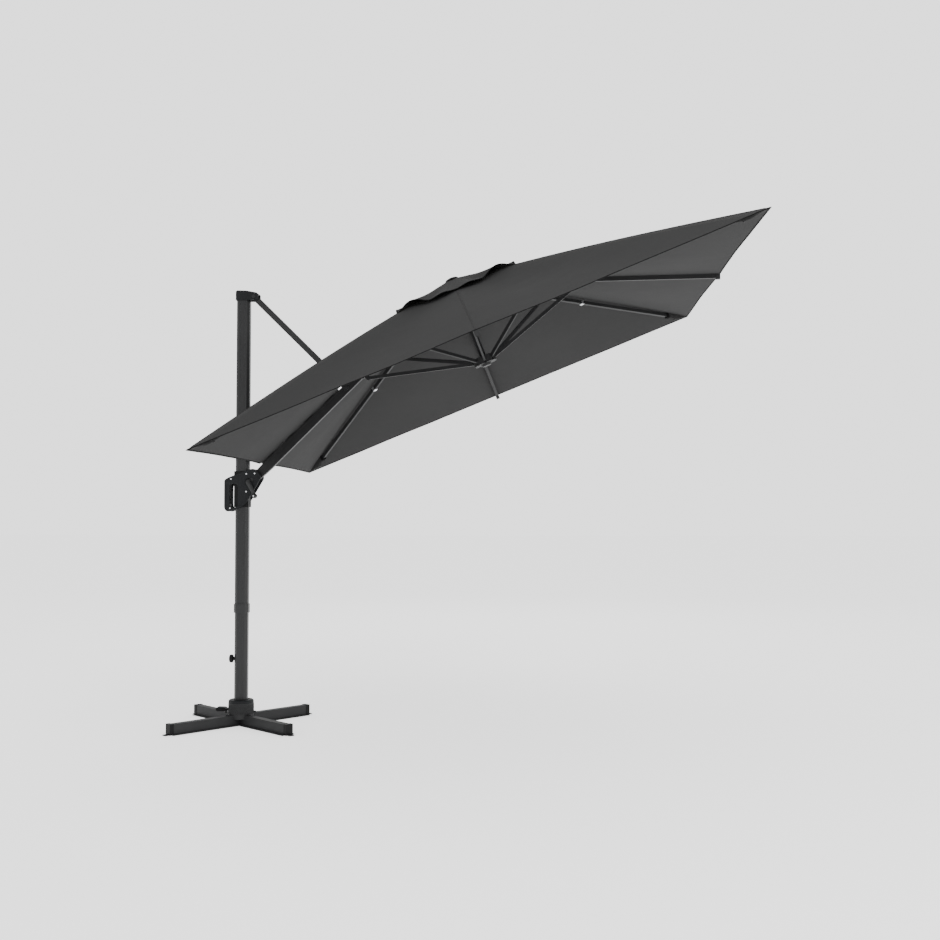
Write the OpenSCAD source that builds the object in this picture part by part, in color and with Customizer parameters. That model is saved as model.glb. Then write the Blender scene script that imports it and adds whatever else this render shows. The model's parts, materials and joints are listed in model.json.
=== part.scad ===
// Cantilever parasol: a square canopy carried beside a mast that turns on a cross base.
// The origin is on the ground under the mast's axis. +X points to the canopy, +Z is up.

/* [Base] */
// Length of each leg, from the mast's axis to its end cap
leg_length = 483; // [400:1:560]
// Width of a leg's box section
leg_width = 44; // [36:1:56]
// Height of a leg
leg_height = 62; // [50:1:70]
// Width of the flange along the foot of each leg
flange_width = 84; // [70:1:100]
// Turn of the cross base away from the canopy's direction
base_turn = 48; // [0:1:90]
// Radius of the base's round hub
hub_radius = 76; // [70:1:90]

/* [Mast] */
// Width of the upper mast, towards the canopy
mast_width = 80; // [74:1:80]
// Depth of the upper mast
mast_depth = 62; // [56:1:64]
// Chamfer on the mast's corners
mast_chamfer = 14; // [8:1:18]
// Height of the upper mast's top end
mast_top = 2575; // [2570:1:2578]
// Height of the joint between the lower and the upper mast
mast_split = 700; // [640:10:760]

/* [Arm] */
// Distance of the arm's two pivots from the mast's axis
pivot_x = 66; // [65:1:70]
// Height of the support strut's pivot in the mast head
head_pivot_z = 2596; // [2596:1:2598]
// Height of the boom's pivot in the carriage
carriage_pivot_z = 1477; // [1440:1:1520]
// Slope of the boom
boom_angle = 44.6; // [42:0.1:47]
// Length of the boom from the carriage to the crown
boom_length = 1635; // [1600:1:1660]
// Depth of the boom's tube
boom_depth = 60; // [56:1:64]
// Width of the boom's tube
boom_width = 34; // [30:1:36]

/* [Canopy] */
// Length of each side of the open canopy
canopy_side = 3000; // [2900:10:3100]
// Height of the canopy's peak above its edges
canopy_rise = 587; // [575:1:600]
// Tilt of the open canopy
canopy_tilt = 22.2; // [21:0.1:23]
// Thickness of the canopy's fabric, with its folded seams
panel_thick = 1; // [0.8:0.1:1.6]
// Side of the cap over the vent
cap_side = 740; // [700:10:760]
// Height of the vent's cap above the fabric
cap_lift = 14; // [12:1:20]
// Width of the slit in the fabric that the support strut passes through
slit_width = 58; // [56:1:70]

/* [Ribs] */
// Width of a rib
rib_size = 20; // [18:1:20]
// Depth of a rib
rib_depth = 25; // [20:1:25]
// Width of a stretcher
stretcher_width = 12; // [10:1:12]
// Depth of a stretcher
stretcher_depth = 20; // [14:1:20]
// Distance of the stretchers' rib joints from the canopy's axis
joint_r = 705; // [690:1:720]
// Height of the lower hub's pivots above the canopy's edges
lower_hub_n = 61; // [50:1:80]

/* [Hidden] */
$fn = 48;

// Colours
frame_black = "#26272a";
slate = "#33383d";
fabric_grey = "#4b4b4d";
bright_steel = "#b9bcc0";

// Running clearance of pins and slides
run = 0.3;
mast_step = 2;
wall = 3;
flange_thick = 4;
cap_thick = 12;
cap_sleeve = 14;
tab_length = 26;
tab_thick = 5;
anchor_hole_r = 4.5;
hub_bottom = 40;
hub_top = 132;
turntable_top = 150;
spigot_r = 25;
pedal_z = 92;
pedal_pivot_x = -62;

// Pivots of the arm, in the plane of the mast and the boom
arm_link = (head_pivot_z - carriage_pivot_z) / 2 / sin(boom_angle);
strut_link = arm_link;
strut_bar_y = 20;
strut_bar_thick = 5;
strut_depth = 34;
foot_r = 24;
tip_drop = 17;
lug_along = 700;
lug_drop = 53;

// The canopy's own frame: X to the right edge, Y to the back, Z out of its peak
half_side = canopy_side / 2;
corner_r = half_side * sqrt(2);
slope_mid = atan(canopy_rise / half_side);
slope_corner = atan(canopy_rise / corner_r);
pivot_r = 60;
pivot_n = 546;
boom_pivot_n = 533;
tip_x = pivot_x + boom_length * cos(boom_angle) + tip_drop * sin(boom_angle);
tip_z = carriage_pivot_z + boom_length * sin(boom_angle) - tip_drop * cos(boom_angle);
canopy_x = tip_x + pivot_r * cos(canopy_tilt) + boom_pivot_n * sin(canopy_tilt);
canopy_z = tip_z + pivot_r * sin(canopy_tilt) - boom_pivot_n * cos(canopy_tilt);

// Ribs and stretchers
rib_drop = rib_size / 2 + panel_thick + 1;
rib_start = 38;
tongue_thick = 7;
lug_depth = 26;
rivet_r = 3;
lower_hub_r = 55;
// Fall of the fabric to each side of a corner rib, square to the rib
hip_fall = atan(tan(slope_mid) * cos(slope_corner) / sqrt(2));

// Distance of a rib's centre line above its pivot, square to the rib
function rib_lift(slope) = (canopy_rise - pivot_r * tan(slope) - pivot_n) * cos(slope) - rib_drop;
// A rib's joint with its stretcher, as [radius, height] in the canopy's frame
function rib_joint(slope) = let(
    along = (joint_r - pivot_r) / cos(slope),
    up = rib_lift(slope) - lug_depth
  ) [pivot_r + along * cos(slope) + up * sin(slope), pivot_n - along * sin(slope) + up * cos(slope)];
// The boom's joint with its stretcher, as [radius, height] in the canopy's frame
function boom_joint() = let(
    turn = boom_angle - canopy_tilt,
    across = lug_drop - tip_drop
  ) [pivot_r + lug_along * cos(turn) - across * sin(turn),
     boom_pivot_n - lug_along * sin(turn) - across * cos(turn)];

module along_leg(turn) {
  rotate([0, 0, base_turn + turn]) children();
}
module at_boom() {
  translate([pivot_x, 0, carriage_pivot_z]) rotate([0, -boom_angle, 0]) children();
}
module at_head_strut() {
  translate([pivot_x, 0, head_pivot_z]) rotate([0, boom_angle, 0]) children();
}
module in_canopy() {
  translate([canopy_x, 0, canopy_z]) rotate([0, -canopy_tilt, 0]) children();
}
module at_rib(azimuth, slope) {
  in_canopy() rotate([0, 0, azimuth]) translate([pivot_r, 0, pivot_n]) rotate([0, slope, 0]) children();
}
// A cylinder along Y, centred on Y = 0
module y_rod(r, length) {
  rotate([90, 0, 0]) cylinder(r = r, h = length, center = true);
}
// An outline in X and Z, given a thickness along Y
module y_plate(thick) {
  rotate([90, 0, 0]) linear_extrude(thick, center = true) children();
}
module mast_outline(width, depth, chamfer) {
  x = width / 2;
  y = depth / 2;
  polygon([
    [x - chamfer, -y], [x, chamfer - y], [x, y - chamfer], [x - chamfer, y],
    [chamfer - x, y], [-x, y - chamfer], [-x, chamfer - y], [chamfer - x, -y]
  ]);
}

// ---- Base ----

module leg_pair() {
  difference() {
    union() {
      translate([-leg_length, -flange_width / 2, 0]) cube([2 * leg_length, flange_width, flange_thick]);
      translate([-leg_length, -leg_width / 2, 0]) cube([2 * leg_length, leg_width, leg_height]);
    }
    for (side = [-1, 1])
      translate([side * (leg_length + hub_radius) / 2, 0, leg_height / 2 + 1])
        cube([leg_length - hub_radius + 8, leg_width - 2 * wall, leg_height - 2 * wall - 2], center = true);
  }
}
module base_bar_long() {
  color(frame_black) along_leg(0) difference() {
    leg_pair();
    translate([-leg_width / 2 - run, -100, leg_height / 2]) cube([leg_width + 2 * run, 200, leg_height]);
  }
}
module base_bar_crossing() {
  notch = flange_width + 2 * run;
  color(frame_black) along_leg(90) difference() {
    leg_pair();
    translate([-leg_width / 2 - run, -100, -1]) cube([leg_width + 2 * run, 200, leg_height / 2 + 1 + run]);
    translate([-notch / 2, -100, -1]) cube([notch, 200, flange_thick + 1 + run]);
  }
}
module leg_end_caps() {
  grow = 4;
  sleeve = cap_sleeve + 1;
  color("#161719") for (turn = [0:90:270]) along_leg(turn) difference() {
    union() {
      translate([leg_length - cap_sleeve, -(leg_width + grow) / 2, 0])
        cube([cap_sleeve + cap_thick, leg_width + grow, leg_height + grow / 2]);
      translate([leg_length, -15, 0]) cube([cap_thick + tab_length, 30, tab_thick]);
    }
    translate([leg_length - sleeve, -leg_width / 2, -1]) cube([sleeve, leg_width, leg_height + 1]);
    translate([leg_length - sleeve, -flange_width, -1])
      cube([sleeve, 2 * flange_width, flange_thick + 1 + run]);
    translate([leg_length + cap_thick + tab_length / 2, 0, -1])
      cylinder(r = anchor_hole_r, h = tab_thick + 2);
  }
}
module base_hub() {
  slot = 37;
  color(frame_black) difference() {
    translate([0, 0, hub_bottom]) cylinder(r = hub_radius, h = hub_top - hub_bottom, $fn = 96);
    for (turn = [0, 90])
      along_leg(turn)
        translate([-100, -leg_width / 2 - run, 0]) cube([200, leg_width + 2 * run, leg_height + run]);
    translate([0, 0, leg_height]) cylinder(r = spigot_r + run, h = hub_top);
    translate([-100, -slot / 2, pedal_z - 17]) cube([100 - 46, slot, 31]);
    translate([pedal_pivot_x, 0, pedal_z]) y_rod(4 + run, 56);
  }
}
module leg_bolts() {
  color(bright_steel) for (turn = [0:90:270]) along_leg(turn)
    translate([hub_radius + 22, 0, leg_height]) {
      cylinder(r = 11, h = 2);
      translate([0, 0, 2]) cylinder(r = 8.5, h = 6, $fn = 6);
    }
}
module foot_pedal() {
  color("#1b1c1e") translate([pedal_pivot_x, 0, pedal_z]) {
    y_rod(4, 54);
    y_rod(9, 34);
    translate([-40, -17, -5]) cube([40, 34, 10]);
    translate([-34, -4, -24]) cube([8, 8, 24]);
    hull() {
      translate([-76, 0, 0]) y_rod(12, 44);
      translate([-38, 0, 0]) y_rod(11, 44);
    }
  }
}

// ---- Mast ----

module turntable() {
  lip = 6;
  color(slate) {
    translate([0, 0, hub_top + run])
      cylinder(r = hub_radius - 1, h = turntable_top - hub_top - run - lip, $fn = 96);
    translate([0, 0, turntable_top - lip])
      cylinder(r1 = hub_radius - 1, r2 = hub_radius - lip, h = lip, $fn = 96);
    translate([0, 0, leg_height + 8]) cylinder(r = spigot_r, h = hub_top - leg_height);
  }
}
module mast_tube(width, depth, bottom, top) {
  groove = 1.2;
  translate([0, 0, bottom]) difference() {
    linear_extrude(top - bottom) mast_outline(width, depth, mast_chamfer);
    translate([0, 0, -1]) linear_extrude(top - bottom + 2)
      mast_outline(width - 2 * wall, depth - 2 * wall, mast_chamfer - wall / 2);
    for (side = [-1, 1], x = [-0.17, 0.17])
      translate([x * width - groove / 2, side * depth / 2 - groove / 2, -1])
        cube([groove, groove, top - bottom + 2]);
  }
}
module lower_mast() {
  color(frame_black) mast_tube(mast_width - mast_step, mast_depth - mast_step, turntable_top, mast_split);
}
module upper_mast() {
  color(frame_black) mast_tube(mast_width, mast_depth, mast_split, mast_top);
}
module mast_collar() {
  height = 54;
  color(slate) translate([0, 0, mast_split - height / 2]) difference() {
    linear_extrude(height) mast_outline(mast_width + 9, mast_depth + 9, mast_chamfer + 2);
    translate([0, 0, -1]) linear_extrude(height / 2 + 1)
      mast_outline(mast_width - mast_step, mast_depth - mast_step, mast_chamfer);
    translate([0, 0, height / 2]) linear_extrude(height) mast_outline(mast_width, mast_depth, mast_chamfer);
  }
}
module clamp_knob() {
  face = (mast_width - mast_step) / 2;
  color("#151617") translate([-face - run, 0, 395]) rotate([0, -90, 0]) {
    cylinder(r = 13, h = 12);
    translate([0, 0, 12]) difference() {
      cylinder(r = 25, h = 22);
      for (turn = [0:45:315]) rotate([0, 0, turn]) translate([29, 0, -1]) cylinder(r = 7, h = 24);
    }
  }
}
module mast_head() {
  cheek = 36;
  color(slate) difference() {
    y_plate(2 * cheek) polygon([
      [-43, mast_top], [-43, mast_top + 52], [-35, mast_top + 60],
      [20, mast_top + 58], [84, mast_top + 46], [94, mast_top + 38], [94, mast_top]
    ]);
    translate([44, -strut_bar_y - strut_bar_thick - 1.5, mast_top - 1])
      cube([60, 2 * (strut_bar_y + strut_bar_thick + 1.5), head_pivot_z - mast_top + strut_depth / 2 + 2.5]);
    translate([pivot_x, 0, head_pivot_z]) y_rod(7, 100);
  }
}
module head_pin() {
  color(bright_steel) translate([pivot_x, 0, head_pivot_z]) {
    y_rod(7, 74);
    for (side = [-1, 1]) translate([0, side * 37.5, 0]) y_rod(11, 3);
  }
}

// ---- Arm ----

module support_strut() {
  bar_y = strut_bar_y + strut_bar_thick / 2;
  spacer = 2 * strut_bar_y;
  color(frame_black) at_head_strut() difference() {
    union() {
      for (side = [-1, 1]) translate([0, side * bar_y, 0]) difference() {
        union() {
          y_rod(strut_depth / 2, strut_bar_thick);
          translate([strut_link, 0, 0]) y_rod(strut_depth / 2, strut_bar_thick);
          translate([0, -strut_bar_thick / 2, -strut_depth / 2])
            cube([strut_link, strut_bar_thick, strut_depth]);
        }
        translate([20, side * strut_bar_thick / 2 - 0.6, 6]) cube([strut_link - 40, 1.2, 1.6]);
      }
      for (along = [50, 300, 520])
        translate([along, -spacer / 2, -strut_depth / 2 + 5]) cube([40, spacer, strut_depth - 10]);
      y_rod(12, spacer);
    }
    y_rod(7 + run, 60);
    translate([strut_link, 0, 0]) y_rod(7, 60);
  }
}
module strut_pin() {
  color(bright_steel) at_head_strut() translate([strut_link, 0, 0]) {
    y_rod(7, 50);
    for (side = [-1, 1]) translate([0, side * 26, 0]) y_rod(10, 2);
  }
}

plate_inner = 35;
plate_thick = 12;
// Corners of a carriage plate: distance from the mast's axis, and height above the boom's pivot
plate_corners = [
  [-99, 2], [-80, 14], [35, 58], [62, 66], [80, 66], [97, 57], [119, 30], [121, 8],
  [81, -60], [35, -138], [0, -167], [-49, -185], [-77, -193], [-94, -187], [-103, -170], [-103, -6]
];
crank_x = 45;
crank_z = carriage_pivot_z - 7;

module carriage_plate() {
  y_plate(plate_thick) difference() {
    polygon([for (p = plate_corners) [p[0], carriage_pivot_z + p[1]]]);
    translate([-69, carriage_pivot_z - 145]) square([49, 97]);
    translate([-44.5, carriage_pivot_z - 145]) circle(r = 24.5);
    translate([-44.5, carriage_pivot_z - 48]) circle(r = 24.5);
  }
}
module carriage_front() {
  color(slate) difference() {
    translate([0, -plate_inner - plate_thick / 2, 0]) carriage_plate();
    translate([pivot_x, 0, carriage_pivot_z]) y_rod(8, 120);
    translate([crank_x, -50, crank_z]) y_rod(7 + run, 60);
  }
}
module carriage_back() {
  color(slate) difference() {
    translate([0, plate_inner + plate_thick / 2, 0]) carriage_plate();
    translate([pivot_x, 0, carriage_pivot_z]) y_rod(8, 120);
  }
}
module carriage_sleeve() {
  slack = 1;
  left = mast_width / 2 + slack + 4;
  color("#1d1f21") difference() {
    translate([-left, -plate_inner, carriage_pivot_z - 165]) cube([2 * left - 1.5, 2 * plate_inner, 218]);
    translate([0, 0, carriage_pivot_z - 200]) linear_extrude(300)
      mast_outline(mast_width + 2 * slack, mast_depth + 2 * slack, mast_chamfer);
    translate([25, -100, carriage_pivot_z - 34]) cube([100, 200, 200]);
  }
}
module carriage_screws() {
  spots = [[-61, 5], [33, 36], [84, 38], [33, -72], [-66, -172]];
  color(bright_steel) for (side = [-1, 1], p = spots)
    translate([p[0], side * (plate_inner + plate_thick + 1.25), carriage_pivot_z + p[1]]) y_rod(4.5, 2.5);
}
module carriage_grip() {
  color("#141517") difference() {
    union() {
      translate([-87, 0, carriage_pivot_z - 165]) cylinder(r = 14, h = 160);
      translate([-100, -plate_inner, carriage_pivot_z - 165]) cube([26, 2 * plate_inner, 18]);
      translate([-100, -plate_inner, carriage_pivot_z - 24]) cube([26, 2 * plate_inner, 19]);
    }
    translate([-87, 0, carriage_pivot_z - 170]) cylinder(r = 6, h = 100);
  }
}
module carriage_pin() {
  color(bright_steel) translate([pivot_x, 0, carriage_pivot_z]) {
    y_rod(8, 2 * (plate_inner + plate_thick) + 1);
    for (side = [-1, 1]) translate([0, side * (plate_inner + plate_thick + 1.5), 0]) y_rod(11, 3);
  }
}
// The crank is a flat arm on the carriage's front plate
crank_face = plate_inner + plate_thick + 5;
crank_arm = 101;
crank_turn = 64;
module crank() {
  color("#1a1b1d") translate([crank_x, -crank_face, crank_z]) rotate([0, crank_turn, 0]) {
    translate([0, 10, 0]) y_rod(7, 36);
    translate([0, -3, 0]) y_rod(13, 8);
    hull() {
      translate([0, -4, 0]) y_rod(12, 6);
      translate([crank_arm, -4, 0]) y_rod(8, 6);
    }
    translate([crank_arm, -22, 0]) y_rod(4, 34);
  }
}
module crank_knob() {
  color("#101112") translate([crank_x, -crank_face, crank_z]) rotate([0, crank_turn, 0])
    translate([crank_arm, -7.5, 0]) rotate([90, 0, 0]) rotate_extrude() polygon([
      [4.2, 0], [10, 0], [12, 6], [13.5, 18], [12.5, 30], [8, 36], [4.2, 36]
    ]);
}

// ---- Boom ----

// Everything higher than this depth under the fabric, over the boom
module over_boom(depth) {
  in_canopy() translate([0, 0, canopy_rise]) rotate([0, slope_mid, 180])
    translate([-100, -60, -depth]) cube([1500, 120, 200]);
}
boom_end = boom_length - 46;
module boom() {
  half = boom_depth / 2;
  taper = 130;
  clear = 8;
  color(frame_black) difference() {
    at_boom() {
      y_plate(boom_width) {
        circle(r = foot_r);
        polygon([
          [0, -foot_r], [taper, -half], [boom_end, -half], [boom_end, half], [taper, half], [0, foot_r]
        ]);
      }
      y_rod(14, 2 * plate_inner - 1);
    }
    difference() {
      at_boom() translate([taper + 20, -boom_width / 2 + wall, wall - half])
        cube([boom_end - taper - 19, boom_width - 2 * wall, boom_depth - 2 * wall]);
      over_boom(clear + wall);
      at_boom() translate([arm_link, 0, 0]) y_rod(16, 80);
    }
    over_boom(clear);
    at_boom() {
      y_rod(8 + run, 90);
      translate([arm_link, 0, 0]) y_rod(7 + run, 90);
      for (side = [-1, 1]) translate([160, side * boom_width / 2 - 0.6, 10]) cube([boom_end - 200, 1.2, 1.6]);
    }
  }
}
module boom_head() {
  neck = 14;
  color(slate) difference() {
    at_boom() {
      translate([boom_end, -boom_width / 2, -boom_depth / 2]) cube([8, boom_width, boom_depth]);
      translate([boom_end + 7, -neck / 2, -tip_drop - 12]) cube([39, neck, 24]);
      translate([boom_length, 0, -tip_drop]) y_rod(12, neck);
    }
    over_boom(8);
    at_boom() translate([boom_length, 0, -tip_drop]) y_rod(5 + run, 40);
  }
}
// The clevis under the boom that holds the left stretcher
module boom_lug() {
  side_y = stretcher_width / 2 + 0.8;
  color(slate) at_boom() translate([boom_length - lug_along, 0, 0]) {
    translate([-28, -side_y - 4, -boom_depth / 2 - 4]) cube([56, 2 * side_y + 8, 4]);
    for (side = [-1, 1]) translate([0, side * (side_y + 2), 0]) {
      translate([-13, -2, -lug_drop]) cube([26, 4, lug_drop - boom_depth / 2]);
      translate([0, 0, -lug_drop]) y_rod(13, 4);
    }
    translate([0, 0, -lug_drop]) y_rod(rivet_r, 2 * side_y + 12);
  }
}
module boom_tip_pin() {
  color(bright_steel) in_canopy() translate([-pivot_r, 0, boom_pivot_n]) y_rod(5, 44);
}

// ---- Canopy frame ----

crown_r = 76;
crown_bottom = 516;
crown_top = 562;
crown_slot_top = pivot_n + 11;
module crown() {
  slot = tongue_thick + 2;
  boom_slot = 16;
  color(slate) in_canopy() difference() {
    translate([0, 0, crown_bottom]) cylinder(r = crown_r, h = crown_top - crown_bottom, $fn = 96);
    translate([0, 0, crown_bottom - 1]) cylinder(r = 19.6, h = 16);
    for (turn = [0, 45, 90, 135, 225, 270, 315]) rotate([0, 0, turn])
      translate([pivot_r - 12, -slot / 2, crown_bottom - 1])
        cube([60, slot, crown_slot_top - crown_bottom + 1]);
    rotate([0, 0, 180]) translate([pivot_r - 15, -boom_slot / 2, crown_bottom - 1])
      cube([60, boom_slot, crown_slot_top - crown_bottom + 1]);
    translate([-pivot_r, 0, boom_pivot_n]) y_rod(5, 44);
    translate([0, 0, pivot_n]) rotate_extrude() translate([pivot_r, 0]) circle(r = 2.05, $fn = 24);
  }
}
// A wire ring threaded through the ribs' tongues, open over the boom
module crown_ring() {
  color(bright_steel) in_canopy() translate([0, 0, pivot_n]) rotate([0, 0, -160])
    rotate_extrude(angle = 320) translate([pivot_r, 0]) circle(r = 2, $fn = 24);
}
module finial() {
  color("#1b1c1e") in_canopy() translate([0, 0, crown_top]) rotate_extrude($fn = 64) polygon([
    [0, 0], [12, 0], [12, 22], [42, 24], [44, 28], [36, 36], [20, 41], [0, 43]
  ]);
}
module lower_hub() {
  hub_r = 70;
  height = 44;
  slot = stretcher_width + 2;
  color(slate) in_canopy() translate([0, 0, lower_hub_n]) difference() {
    union() {
      translate([0, 0, -height / 2]) cylinder(r = hub_r, h = height, $fn = 96);
      translate([0, 0, -height / 2 - 14]) cylinder(r1 = 26, r2 = 34, h = 14);
    }
    translate([0, 0, 10 - height]) cylinder(r = 19, h = 2 * height);
    for (turn = [0:45:315]) rotate([0, 0, turn])
      translate([lower_hub_r - 11, -slot / 2, -height]) cube([60, slot, 2 * height]);
  }
}
module centre_tube() {
  bottom = lower_hub_n - 34;
  color(frame_black) in_canopy() difference() {
    translate([0, 0, bottom]) cylinder(r = 19, h = crown_bottom + 13 - bottom);
    translate([0, 0, bottom + 6]) cylinder(r = 17, h = crown_bottom);
  }
}

// Everything higher than the fabric over a rib whose centre line is at lift
module over_rib(lift, length, fall) {
  gap = 0.5;
  for (side = [0, 1])
    mirror([0, side, 0]) translate([0, 0, lift + rib_drop - panel_thick - gap]) rotate([-fall, 0, 0])
      translate([-10, 0, 0]) cube([length + 50, 50, 50]);
}
// A rib: a hollow bar with a tongue in the crown and a clevis for its stretcher
module rib(azimuth, slope, reach, fall) {
  lift = rib_lift(slope);
  end = (reach - pivot_r) / cos(slope);
  joint = (joint_r - pivot_r) / cos(slope);
  half = rib_size / 2;
  skin = 4 + half * tan(fall);
  cheek = (rib_size - stretcher_width - 1.6) / 2;
  color(frame_black) at_rib(azimuth, slope) difference() {
    union() {
      translate([rib_start, -half, lift + half - rib_depth]) cube([end - rib_start, rib_size, rib_depth]);
      translate([end - 18, -half - 2, lift + half - rib_depth - 6]) cube([24, rib_size + 4, rib_depth + 6]);
      y_rod(9, tongue_thick);
      translate([0, -tongue_thick / 2, -8]) cube([rib_start + 4, tongue_thick, 16]);
      for (side = [-1, 1]) translate([joint, side * (half - cheek / 2), 0]) {
        translate([-12, -cheek / 2, lift - lug_depth]) cube([24, cheek, lug_depth]);
        translate([0, 0, lift - lug_depth]) y_rod(12, cheek);
      }
      translate([joint, 0, lift - lug_depth]) y_rod(rivet_r, rib_size + 4);
    }
    y_rod(2.7, 20);
    translate([rib_start + 8, 2 - half, lift + half - rib_depth + 2])
      cube([end - rib_start - 20, rib_size - 4, rib_depth - skin]);
    over_rib(lift, end, fall);
  }
}
mid_reach = half_side - 12;
corner_reach = corner_r - 150;
module rib_right() rib(0, slope_mid, mid_reach, 0);
module rib_back_right() rib(45, slope_corner, corner_reach, hip_fall);
module rib_back() rib(90, slope_mid, mid_reach, 0);
module rib_back_left() rib(135, slope_corner, corner_reach, hip_fall);
module rib_front_left() rib(225, slope_corner, corner_reach, hip_fall);
module rib_front() rib(270, slope_mid, mid_reach, 0);
module rib_front_right() rib(315, slope_corner, corner_reach, hip_fall);

// A bright clip that joins the two lengths of a corner rib
module clip(azimuth) {
  length = 22;
  half = rib_size / 2;
  middle = (corner_r / 2 - pivot_r) / cos(slope_corner);
  bottom = half - rib_depth;
  color(bright_steel) at_rib(azimuth, slope_corner) translate([middle, 0, rib_lift(slope_corner)])
    difference() {
      translate([-length / 2, -half - 3, bottom - 3]) cube([length, rib_size + 6, rib_depth + 3]);
      translate([-length, -half, bottom]) cube([2 * length, rib_size, 2 * rib_depth]);
      translate([-length, 0, 0]) over_rib(0, 2 * length, hip_fall);
    }
}
module clip_back_right() clip(45);
module clip_back_left() clip(135);
module clip_front_left() clip(225);
module clip_front_right() clip(315);

// A stretcher from its joint on a rib or the boom to the lower hub
module stretcher(azimuth, joint) {
  dr = lower_hub_r - joint[0];
  dn = lower_hub_n - joint[1];
  length = norm([dr, dn]);
  radius = stretcher_depth / 2;
  color(frame_black) in_canopy() rotate([0, 0, azimuth]) translate([joint[0], 0, joint[1]])
    rotate([0, atan2(-dn, dr), 0]) difference() {
      union() {
        y_rod(radius, stretcher_width);
        translate([length, 0, 0]) y_rod(radius, stretcher_width);
        translate([0, -stretcher_width / 2, -radius]) cube([length, stretcher_width, stretcher_depth]);
      }
      y_rod(rivet_r + run, 40);
      translate([length, 0, 0]) y_rod(rivet_r, 40);
      translate([14, 1.5 - stretcher_width / 2, 1.5 - radius])
        cube([length - 28, stretcher_width - 3, stretcher_depth - 3]);
    }
}
module stretcher_right() stretcher(0, rib_joint(slope_mid));
module stretcher_back_right() stretcher(45, rib_joint(slope_corner));
module stretcher_back() stretcher(90, rib_joint(slope_mid));
module stretcher_back_left() stretcher(135, rib_joint(slope_corner));
module stretcher_left() stretcher(180, boom_joint());
module stretcher_front_left() stretcher(225, rib_joint(slope_corner));
module stretcher_front() stretcher(270, rib_joint(slope_mid));
module stretcher_front_right() stretcher(315, rib_joint(slope_corner));

// ---- Fabric ----

// Part of one face of the pyramid, between two radii and two lines out from the peak
module face_piece(face, inner, outer, line_a, line_b, lift) {
  stretch = cos(slope_mid);
  slack = 0.7;
  color(fabric_grey) in_canopy() rotate([0, 0, face]) translate([0, 0, canopy_rise + lift])
    rotate([0, slope_mid, 0]) translate([0, 0, -panel_thick]) linear_extrude(panel_thick) polygon([
      [inner / stretch, inner * line_a + slack], [outer / stretch, outer * line_a + slack],
      [outer / stretch, outer * line_b - slack], [inner / stretch, inner * line_b - slack]
    ]);
}
seam = tan(22.5);
fabric_inner = 190;
cap_inner = 46;
module mid_sector(face) {
  face_piece(face, fabric_inner, half_side, -seam, seam, 0);
  face_piece(face, cap_inner, cap_side / 2, -seam, seam, cap_lift);
}
module corner_sector(face) {
  edge = 1 - 0.004;
  face_piece(face, fabric_inner, half_side, seam, edge, 0);
  face_piece(face + 90, fabric_inner, half_side, -edge, -seam, 0);
  face_piece(face, cap_inner, cap_side / 2, seam, edge, cap_lift);
  face_piece(face + 90, cap_inner, cap_side / 2, -edge, -seam, cap_lift);
}
module canopy_right() mid_sector(0);
module canopy_back_right() corner_sector(0);
module canopy_back() mid_sector(90);
module canopy_back_left() corner_sector(90);
module canopy_front_left() corner_sector(180);
module canopy_front() mid_sector(270);
module canopy_front_right() corner_sector(270);
module canopy_left() {
  slit_start = 760;
  difference() {
    mid_sector(180);
    in_canopy() translate([-half_side - 50, -slit_width / 2, -100])
      cube([half_side + 50 - slit_start, slit_width, 600]);
  }
}

base_bar_long();
base_bar_crossing();
leg_end_caps();
base_hub();
leg_bolts();
foot_pedal();
turntable();
lower_mast();
mast_collar();
clamp_knob();
upper_mast();
mast_head();
head_pin();
support_strut();
strut_pin();
carriage_front();
carriage_back();
carriage_sleeve();
carriage_screws();
carriage_grip();
carriage_pin();
crank();
crank_knob();
boom();
boom_head();
boom_lug();
boom_tip_pin();
crown();
crown_ring();
finial();
lower_hub();
centre_tube();
rib_right();
rib_back_right();
rib_back();
rib_back_left();
rib_front_left();
rib_front();
rib_front_right();
clip_back_right();
clip_back_left();
clip_front_left();
clip_front_right();
stretcher_right();
stretcher_back_right();
stretcher_back();
stretcher_back_left();
stretcher_left();
stretcher_front_left();
stretcher_front();
stretcher_front_right();
canopy_right();
canopy_back_right();
canopy_back();
canopy_back_left();
canopy_left();
canopy_front_left();
canopy_front();
canopy_front_right();
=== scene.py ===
# A cantilever parasol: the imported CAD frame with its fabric, trim and finishes.
# Everything is in metres, in the CAD's own frame: the mast stands at the origin and the canopy is towards +X.
import json
import math

import bmesh
import bpy
from mathutils import Matrix, Vector, noise


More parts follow.
